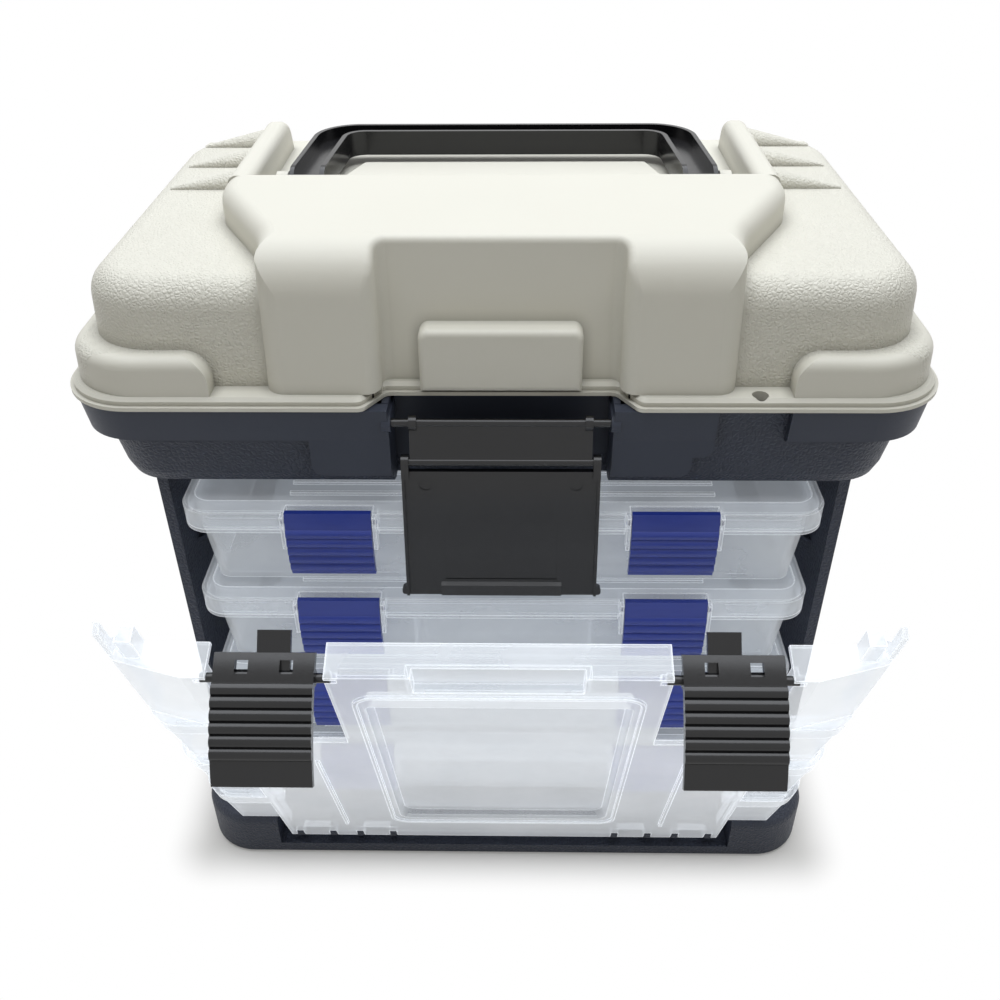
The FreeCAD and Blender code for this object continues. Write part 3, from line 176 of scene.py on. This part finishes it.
class Shader:
    """A material under construction, with short names for its nodes."""

    def __init__(self, name):
        self.material = bpy.data.materials.new(name)
        self.material.use_nodes = True
        self.tree = self.material.node_tree
        self.tree.nodes.clear()
        self.output = self.tree.nodes.new("ShaderNodeOutputMaterial")
        self.surface = self.tree.nodes.new("ShaderNodeBsdfPrincipled")
        self.tree.links.new(self.surface.outputs["BSDF"], self.output.inputs["Surface"])
        self.place = self.tree.nodes.new("ShaderNodeTexCoord").outputs["Object"]

    def link(self, source, target):
        self.tree.links.new(source, target)

    def math(self, operation, a, b=0.0, clamp=False):
        node = self.tree.nodes.new("ShaderNodeMath")
        node.operation = operation
        node.use_clamp = clamp
        for socket, value in zip(node.inputs, (a, b)):
            if isinstance(value, bpy.types.NodeSocket):
                self.link(value, socket)
            else:
                socket.default_value = value
        return node.outputs[0]

    def stretched(self, scale):
        node = self.tree.nodes.new("ShaderNodeMapping")
        node.inputs["Scale"].default_value = scale
        self.link(self.place, node.inputs["Vector"])
        return node.outputs[0]

    def noise(self, scale, detail=noise_detail, place=None):
        node = self.tree.nodes.new("ShaderNodeTexNoise")
        node.inputs["Scale"].default_value = scale
        node.inputs["Detail"].default_value = detail
        self.link(place or self.place, node.inputs["Vector"])
        return node.outputs["Fac"]

    def cells(self, scale):
        """Rounded leather cells."""
        warp = self.tree.nodes.new("ShaderNodeTexNoise")
        warp.inputs["Scale"].default_value = scale * cell_warp_scale
        self.link(self.place, warp.inputs["Vector"])
        mix = self.tree.nodes.new("ShaderNodeMix")
        mix.data_type = "VECTOR"
        mix.inputs["Factor"].default_value = cell_warp
        self.link(self.place, mix.inputs[4])
        self.link(warp.outputs["Color"], mix.inputs[5])
        node = self.tree.nodes.new("ShaderNodeTexVoronoi")
        node.feature = "DISTANCE_TO_EDGE"
        node.inputs["Scale"].default_value = scale
        self.link(mix.outputs[1], node.inputs["Vector"])
        rise = self.math("MULTIPLY", node.outputs["Distance"], cell_slope)
        return self.math("MINIMUM", rise, 1.0)

    def blend(self, factor, first, second):
        node = self.tree.nodes.new("ShaderNodeMix")
        node.data_type = "RGBA"
        node.inputs[6].default_value = (*first, 1.0)
        node.inputs[7].default_value = (*second, 1.0)
        self.link(factor, node.inputs["Factor"])
        return node.outputs[2]

    def spread(self, factor, low, high):
        node = self.tree.nodes.new("ShaderNodeMapRange")
        node.inputs["To Min"].default_value = low
        node.inputs["To Max"].default_value = high
        self.link(factor, node.inputs["Value"])
        return node.outputs[0]

    def spread_between(self, value, start, end, low, high):
        node = self.tree.nodes.new("ShaderNodeMapRange")
        for name, number in zip(("From Min", "From Max", "To Min", "To Max"), (start, end, low, high)):
            node.inputs[name].default_value = number
        node.interpolation_type = "SMOOTHSTEP"
        self.link(value, node.inputs["Value"])
        return node.outputs[0]

    def step(self, value, edge, width):
        """0 below the edge and 1 above it, over a soft width."""
        node = self.tree.nodes.new("ShaderNodeMapRange")
        node.interpolation_type = "SMOOTHSTEP"
        node.inputs["From Min"].default_value = edge - width / 2
        node.inputs["From Max"].default_value = edge + width / 2
        self.link(value, node.inputs["Value"])
        return node.outputs[0]

    def both(self, *masks):
        whole = masks[0]
        for mask in masks[1:]:
            whole = self.math("MULTIPLY", whole, mask)
        return whole

    def either(self, *masks):
        whole = masks[0]
        for mask in masks[1:]:
            whole = self.math("MAXIMUM", whole, mask)
        return whole

    def without(self, mask):
        return self.math("SUBTRACT", 1.0, mask)

    def bump(self, height, distance, strength=1.0):
        node = self.tree.nodes.new("ShaderNodeBump")
        node.inputs["Distance"].default_value = distance
        node.inputs["Strength"].default_value = strength
        self.link(height, node.inputs["Height"])
        self.link(node.outputs["Normal"], self.surface.inputs["Normal"])

    def painted_crease_shade(self, colour):
        """The colour with painted shade: darker in crevices and where pieces meet, by ambient
        occlusion.
        """
        near = self.tree.nodes.new("ShaderNodeAmbientOcclusion")
        near.samples = crease_samples
        near.inputs["Distance"].default_value = crease_reach
        mix = self.tree.nodes.new("ShaderNodeMix")
        mix.data_type = "RGBA"
        mix.blend_type = "MULTIPLY"
        mix.inputs["Factor"].default_value = 1.0
        # Painted shade: ambient occlusion darkens the colour towards crease_shade in crevices
        shade = self.spread(near.outputs["AO"], crease_shade, 1.0)
        self.link(colour, mix.inputs[6])
        self.link(shade, mix.inputs[7])
        self.link(mix.outputs[2], self.surface.inputs["Base Color"])

    def edges(self):
        """1 along sharp edges, where the rounded normal leaves the true one, and 0 on faces."""
        rounded = self.tree.nodes.new("ShaderNodeBevel")
        rounded.samples = edge_samples
        rounded.inputs["Radius"].default_value = edge_reach
        true = self.tree.nodes.new("ShaderNodeNewGeometry")
        dot = self.tree.nodes.new("ShaderNodeVectorMath")
        dot.operation = "DOT_PRODUCT"
        self.link(rounded.outputs[0], dot.inputs[0])
        self.link(true.outputs["Normal"], dot.inputs[1])
        apart = self.math("SUBTRACT", 1.0, dot.outputs["Value"])
        return self.math("MULTIPLY", apart, edge_gain, clamp=True)

    def rough(self, factor, between):
        self.link(self.spread(factor, *between), self.surface.inputs["Roughness"])

    def axes(self):
        node = self.tree.nodes.new("ShaderNodeSeparateXYZ")
        self.link(self.place, node.inputs[0])
        return node.outputs

    def set(self, **values):
        for name, value in values.items():
            self.surface.inputs[name.replace("_", " ")].default_value = value


def ivory():
    """Moulded ivory plastic: leather grain on the shoulders, smooth bands, a little tone variation."""
    s = Shader("ivory_plastic")
    x, y, z = s.axes()
    side = s.math("ABSOLUTE", x)
    edge = s.spread_between(
        y, band_front - band_margin, band_rear + band_margin, band_neck, band_shoulder
    )
    outside = s.step(s.math("SUBTRACT", side, edge), 0.0, mask_soft)
    above_lip = s.step(z, lid_low, mask_soft)
    low = s.without(s.step(z, bumper_top, mask_soft))
    wide = s.both(
        s.step(side, bumper_side, mask_soft),
        s.step(s.math("ABSOLUTE", y), bumper_deep, mask_soft),
    )
    ahead = s.both(
        s.without(s.step(y, bumper_front, bumper_soft)),
        s.step(side, bumper_inner, mask_soft),
    )
    bumper = s.both(low, s.either(wide, ahead))
    grained = s.both(outside, above_lip, s.without(bumper))
    leather = s.math("MULTIPLY", s.cells(ivory_cells), grained)
    fine = s.math("MULTIPLY", s.noise(ivory_fine, fine_detail), ivory_fine_share)
    s.bump(s.math("ADD", leather, fine), ivory_relief, ivory_strength)
    tone = s.spread(s.noise(ivory_clouds), 0.0, ivory_cloud_share)
    s.painted_crease_shade(s.blend(tone, ivory_colour, ivory_dark))
    s.rough(s.noise(ivory_rough_scale), ivory_rough)
    s.set(IOR=plastic_ior)
    return s.material


def slate():
    """Dark blue-grey plastic: grained below the bin's smooth band."""
    s = Shader("slate_plastic")
    x, y, z = s.axes()
    side = s.math("ABSOLUTE", x)
    gap = s.both(
        s.step(x, bin_gap_left, mask_soft),
        s.without(s.step(x, bin_gap_right, mask_soft)),
        s.without(s.step(y, 0.0, front_soft)),
    )
    band = s.both(s.step(z, bin_band_low, mask_soft), s.without(gap))
    block = s.both(
        s.step(z, bin_step_low, mask_soft),
        s.without(s.step(side, bin_step_half, mask_soft)),
    )
    upper = s.both(
        s.step(z, bin_upper_step_low, mask_soft),
        s.step(x, 0.0, mask_soft),
        s.without(s.step(x, bin_upper_step_half, mask_soft)),
    )
    grained = s.without(s.either(band, block, upper))
    leather = s.math("MULTIPLY", s.cells(slate_cells), grained)
    fine = s.math("MULTIPLY", s.noise(slate_fine, fine_detail), slate_fine_share)
    s.bump(s.math("ADD", leather, fine), slate_relief, slate_strength)
    s.painted_crease_shade(s.blend(s.noise(slate_clouds), slate_colour, slate_pale))
    s.rough(s.noise(slate_rough_scale), slate_rough)
    s.set(IOR=plastic_ior, Specular_IOR_Level=slate_specular)
    return s.material


def black():
    """Satin black plastic with a very fine grain."""
    s = Shader("black_plastic")
    s.bump(s.noise(black_fine, fine_detail), black_relief, black_strength)
    s.painted_crease_shade(s.blend(s.noise(black_clouds, flow_detail), black_colour, black_pale))
    s.rough(s.noise(black_rough_scale), black_rough)
    s.set(IOR=black_ior, Specular_IOR_Level=black_specular)
    return s.material


def blue():
    """Royal blue plastic with faint flow lines."""
    s = Shader("blue_plastic")
    flow = s.noise(blue_flow, flow_detail, s.stretched(blue_stretch))
    s.bump(s.noise(blue_fine), blue_relief, blue_strength)
    s.painted_crease_shade(s.blend(flow, blue_colour, blue_pale))
    s.rough(flow, blue_rough)
    s.set(IOR=blue_ior)
    return s.material


def steel():
    """Drawn steel rod."""
    s = Shader("steel_rod")
    drawn = s.noise(steel_drawn, noise_detail, s.stretched(steel_stretch))
    s.bump(drawn, steel_relief, steel_strength)
    s.link(s.blend(drawn, steel_colour, steel_dark), s.surface.inputs["Base Color"])
    s.rough(drawn, steel_rough)
    s.set(Metallic=1.0)
    return s.material


def clear(name, haze_range, painted_glow_range):
    """Clear moulded plastic: see-through faces, edges whitened as a painted highlight, and a painted
    glow (emission) in the haze, strongest along edges.
    """
    s = Shader(name)
    clouds = s.noise(clear_clouds, flow_detail)
    s.link(s.blend(clouds, clear_colour, clear_pale), s.surface.inputs["Base Color"])
    s.rough(s.noise(clear_rough_scale), clear_rough)
    s.bump(s.noise(clear_ripple, fine_detail), clear_relief, clear_strength)
    s.set(IOR=plastic_ior)
    edge = s.edges()
    # Painted glow: the clear plastic emits light, weakly on faces and most along edges
    s.surface.inputs["Emission Color"].default_value = (*clear_painted_glow, 1.0)
    s.link(s.spread(edge, *painted_glow_range), s.surface.inputs["Emission Strength"])
    through = s.tree.nodes.new("ShaderNodeBsdfTransparent")
    through.inputs["Color"].default_value = (*clear_tint, 1.0)
    turn = s.tree.nodes.new("ShaderNodeLayerWeight")
    turn.inputs["Blend"].default_value = clear_turn_blend
    slanted = s.math("MULTIPLY", turn.outputs["Facing"], clear_turn)
    haze = s.math("ADD", s.spread(clouds, *haze_range), slanted)
    # Painted highlight: extra haze along edges whitens them
    haze = s.math("ADD", haze, s.math("MULTIPLY", edge, clear_edge_painted_highlight))
    mix = s.tree.nodes.new("ShaderNodeMixShader")
    s.link(s.math("MINIMUM", haze, clear_most_haze), mix.inputs["Fac"])
    s.link(through.outputs[0], mix.inputs[1])
    s.link(s.surface.outputs[0], mix.inputs[2])
    s.link(mix.outputs[0], s.output.inputs["Surface"])
    return s.material


def dress(looks):
    """Gives every CAD node the material of its slot, and the door its own clear plastic."""
    slots = {entry["node"]: entry["material_slot"] for entry in frame["record"]["subparts"]}
    for name, node in frame["nodes"].items():
        material = looks[slots[name]]
        if name == "door":
            material = looks["door"]
        node.data.materials.clear()
        node.data.materials.append(material)


def ray_white(tree):
    """1 for the rays that see the background: from the camera, off gloss and through clear parts."""
    path = tree.nodes.new("ShaderNodeLightPath")
    either = tree.nodes.new("ShaderNodeMath")
    either.operation = "MAXIMUM"
    tree.links.new(path.outputs["Is Camera Ray"], either.inputs[0])
    tree.links.new(path.outputs["Is Glossy Ray"], either.inputs[1])
    third = tree.nodes.new("ShaderNodeMath")
    third.operation = "MAXIMUM"
    tree.links.new(either.outputs[0], third.inputs[0])
    tree.links.new(path.outputs["Is Transmission Ray"], third.inputs[1])
    return third.outputs[0]


def studio():
    """A pale floor that is white away from the shadow, two lamps and an even world."""
    bpy.ops.mesh.primitive_plane_add(size=2 * floor_half)
    floor = bpy.context.object
    floor.name = "floor"
    paint = Shader("floor_paint")
    paint.set(Roughness=floor_rough)
    soft = paint.noise(floor_clouds)
    pale = tuple(c * floor_shade for c in floor_colour)
    paint.link(paint.blend(soft, floor_colour, pale), paint.surface.inputs["Base Color"])
    x, y, z = paint.axes()
    across = paint.math("SUBTRACT", paint.math("ABSOLUTE", x), shadow_half_width)
    along = paint.math("SUBTRACT", paint.math("ABSOLUTE", y), shadow_half_depth)
    across = paint.math("MAXIMUM", across, 0.0)
    along = paint.math("MAXIMUM", along, 0.0)
    apart = paint.math("SQRT", paint.math("ADD", paint.both(across, across), paint.both(along, along)))
    away = paint.spread_between(apart, 0.0, shadow_reach, shadow_start, 1.0)
    glow = paint.tree.nodes.new("ShaderNodeEmission")
    mix = paint.tree.nodes.new("ShaderNodeMixShader")
    paint.link(paint.both(away, ray_white(paint.tree)), mix.inputs["Fac"])
    paint.link(paint.surface.outputs[0], mix.inputs[1])
    paint.link(glow.outputs[0], mix.inputs[2])
    paint.link(mix.outputs[0], paint.output.inputs["Surface"])
    floor.data.materials.append(paint.material)

    world = bpy.data.worlds.new("studio")
    bpy.context.scene.world = world
    world.use_nodes = True
    tree = world.node_tree
    tree.nodes.clear()
    output = tree.nodes.new("ShaderNodeOutputWorld")
    ambient = tree.nodes.new("ShaderNodeBackground")
    ambient.inputs["Strength"].default_value = ambient_level
    ambient.inputs["Color"].default_value = (*ambient_colour, 1.0)
    white = tree.nodes.new("ShaderNodeBackground")
    white.inputs["Color"].default_value = white_colour
    white.inputs["Strength"].default_value = white_level
    mix = tree.nodes.new("ShaderNodeMixShader")
    tree.links.new(ray_white(tree), mix.inputs["Fac"])
    tree.links.new(ambient.outputs[0], mix.inputs[1])
    tree.links.new(white.outputs[0], mix.inputs[2])
    tree.links.new(mix.outputs[0], output.inputs["Surface"])

    lamp("overhead", overhead_place, overhead_power, overhead_size, overhead_colour)
    lamp("front", front_place, front_power, front_size, front_colour)


def lamp(name, place, power, size, colour):
    data = bpy.data.lights.new(name, "AREA")
    data.energy = power
    data.color = colour
    data.size = size
    thing = bpy.data.objects.new(name, data)
    thing.location = place
    aim = Vector(look_at) - Vector(place)
    thing.rotation_euler = aim.to_track_quat("-Z", "Y").to_euler()
    bpy.context.collection.objects.link(thing)


def camera():
    data = bpy.data.cameras.new("camera")
    data.sensor_width = sensor_width
    data.lens = sensor_width * focal_pixels / image_width
    thing = bpy.data.objects.new("camera", data)
    look = Euler((math.pi / 2 - pitch_down, 0, yaw)).to_matrix().to_4x4()
    thing.matrix_world = Matrix.Translation(eye) @ look @ Matrix.Rotation(roll, 4, "Z")
    bpy.context.collection.objects.link(thing)
    bpy.context.scene.camera = thing


dress(
    {
        "ivory": ivory(),
        "slate": slate(),
        "black": black(),
        "blue": blue(),
        "steel": steel(),
        "clear": clear("clear_plastic", box_haze, box_painted_glow),
        "door": clear("clear_door", door_haze, door_painted_glow),
    }
)
studio()
camera()
bpy.context.scene.view_settings.view_transform = "Standard"
